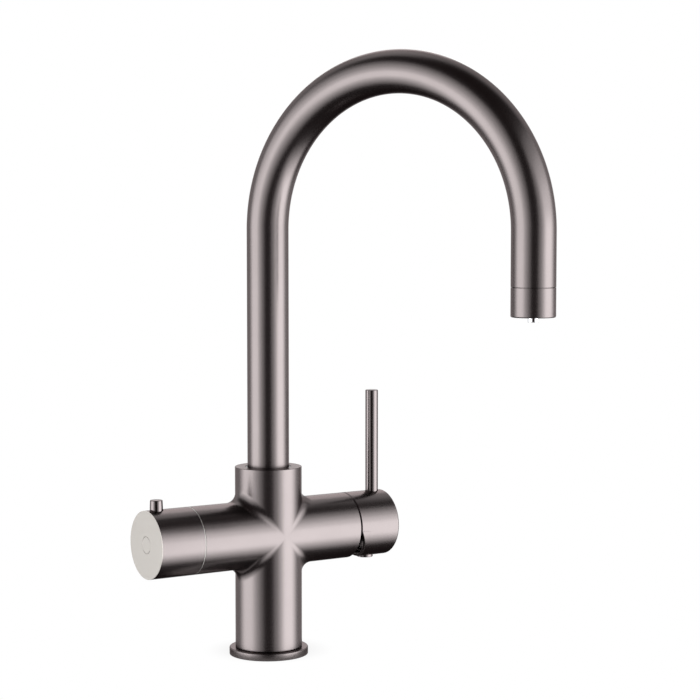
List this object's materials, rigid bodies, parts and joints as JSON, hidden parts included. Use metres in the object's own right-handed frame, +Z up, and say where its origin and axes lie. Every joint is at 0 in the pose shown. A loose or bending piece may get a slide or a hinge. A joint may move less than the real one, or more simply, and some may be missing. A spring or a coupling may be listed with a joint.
{
  "type": "three-in-one boiling water kitchen tap",
  "caption": "Cross-bodied kitchen tap in gunmetal with a swivelling swan-neck spout, a mixer lever and a boiling-water knob with a child lock.",
  "frame": {"origin": "centre of the base's underside, on the deck and on the body's upright axis", "axes": "+Z up, +X along the two arms towards the mixer lever, -Y towards the user; the spout rests swung 22.6 degrees from -Y towards +X, as pictured"},
  "size_m": [0.185, 0.227, 0.4016],
  "materials": {
    "gunmetal": "satin gunmetal coating over metal",
    "chrome": "polished",
    "steel": "plain turned stainless steel",
    "brass": "plain turned brass",
    "ceramic": "lapped white ceramic",
    "rubber": "matt moulded rubber",
    "black_plastic": "satin black plastic",
    "grey_plastic": "satin grey plastic",
    "white_plastic": "satin white plastic"
  },
  "bodies": {
    "tap_body": {"base_ring": "gunmetal", "base_gasket": "rubber", "cross_body": "gunmetal", "inlet_manifold": "brass", "hot_inlet_seal": "rubber", "cold_inlet_seal": "rubber", "boiling_inlet_seal": "rubber", "upper_swivel_bush": "black_plastic", "spout_grub_screw": "steel", "cartridge_base_seal": "rubber", "cartridge_base": "white_plastic", "cartridge_housing": "white_plastic", "fixed_ceramic_disc": "ceramic", "cartridge_nut": "brass", "cartridge_dome": "black_plastic", "valve_seat_seal": "rubber", "boil_fixed_disc": "ceramic", "valve_body": "brass", "valve_nut": "brass", "lock_sleeve": "steel", "knob_glide_ring": "white_plastic"},
    "spout": {"spout_tube": "gunmetal", "spout_foot": "brass", "spout_o_ring_1": "rubber", "spout_o_ring_2": "rubber", "boiling_tube": "steel", "boiling_tube_seal": "rubber", "nozzle_ring": "gunmetal", "aerator_insert": "grey_plastic", "boiling_outlet": "chrome"},
    "boil_knob": {"knob_shell": "gunmetal", "knob_end_cap": "steel", "knob_adaptor": "black_plastic", "knob_screw": "steel", "boil_spindle": "brass", "spindle_o_ring": "rubber", "boil_moving_disc": "ceramic", "lock_spring": "steel"},
    "child_lock": {"lock_button": "gunmetal", "lock_clip": "steel"},
    "mixer_carrier": {"disc_carrier": "black_plastic", "stem_pin": "steel"},
    "mixer_disc": {"moving_ceramic_disc": "ceramic"},
    "mixer_lever": {"cartridge_stem": "steel", "lever_hub": "gunmetal", "lever_rod": "gunmetal", "hub_grub_screw": "steel", "hub_plug": "gunmetal"}
  },
  "joints": [
    {"name": "spout_swivel", "type": "hinge", "parent": "tap_body", "child": "spout", "pos_m": [0, 0, 0.12], "axis": [0, 0, 1], "continuous": true},
    {"name": "boil_knob_turn", "type": "hinge", "parent": "tap_body", "child": "boil_knob", "pos_m": [-0.0607, 0, 0.0822], "axis": [1, 0, 0], "range_deg": [0, 90]},
    {"name": "lock_press", "type": "slide", "parent": "boil_knob", "child": "child_lock", "axis": [0, 0, -1], "range_m": [0, 0.002], "stiffness_N_per_m": 400, "springref_m": -0.002, "deforming": ["lock_spring"]},
    {"name": "mixer_turn", "type": "hinge", "parent": "tap_body", "child": "mixer_carrier", "pos_m": [0.0579, 0, 0.0822], "axis": [1, 0, 0], "range_deg": [-45, 45]},
    {"name": "mixer_lift", "type": "hinge", "parent": "mixer_carrier", "child": "mixer_lever", "pos_m": [0.0579, 0, 0.0822], "axis": [0, 1, 0], "range_deg": [0, 20]},
    {"name": "mixer_disc_slide", "type": "slide", "parent": "mixer_carrier", "child": "mixer_disc", "axis": [0, 0, 1], "range_m": [0, 0.0053]}
  ],
  "couplings": [
    {"joint": "mixer_disc_slide", "follows": "mixer_lift", "m_per_rad": 0.0149}
  ]
}
